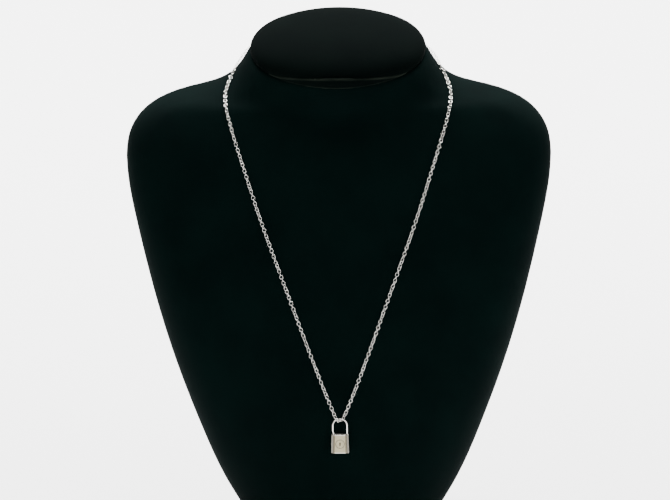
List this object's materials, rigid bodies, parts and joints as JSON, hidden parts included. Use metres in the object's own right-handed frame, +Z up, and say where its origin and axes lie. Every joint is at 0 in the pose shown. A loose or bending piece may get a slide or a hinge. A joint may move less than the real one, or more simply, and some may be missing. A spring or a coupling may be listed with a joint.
{
  "type": "padlock pendant necklace on a neck bust",
  "caption": "Fine cable chain with a small padlock pendant threaded on it by its shackle, worn by a velvet display bust with a padded neck cap.",
  "frame": {"origin": "middle of the bust's flat foot, on the surface it stands on", "axes": "+Z up the bust, the chest and the pendant face -Y, +X to the viewer's right of the chest"},
  "size_m": [0.2042, 0.1049, 0.2445],
  "materials": {
    "velvet": "black velvet, matte with a faint sheen along grazing edges",
    "velvet_pad": "black velvet over padding",
    "brushed_silver": "warm silver, finely brushed",
    "polished_silver": "polished silver",
    "chain_silver": "polished silver wire links"
  },
  "bodies": {
    "display": {"bust_body": "velvet", "neck_cap": "velvet_pad", "chain": "chain_silver", "clasp": "polished_silver"},
    "pendant": {"lock_body": "brushed_silver", "shackle": "polished_silver"}
  },
  "joints": [
    {"name": "pendant_sway", "type": "hinge", "parent": "display", "child": "pendant", "pos_m": [0, -0.04549, 0.06242], "axis": [0, -0.9969, 0.0789], "range_deg": [-30, 30]}
  ]
}
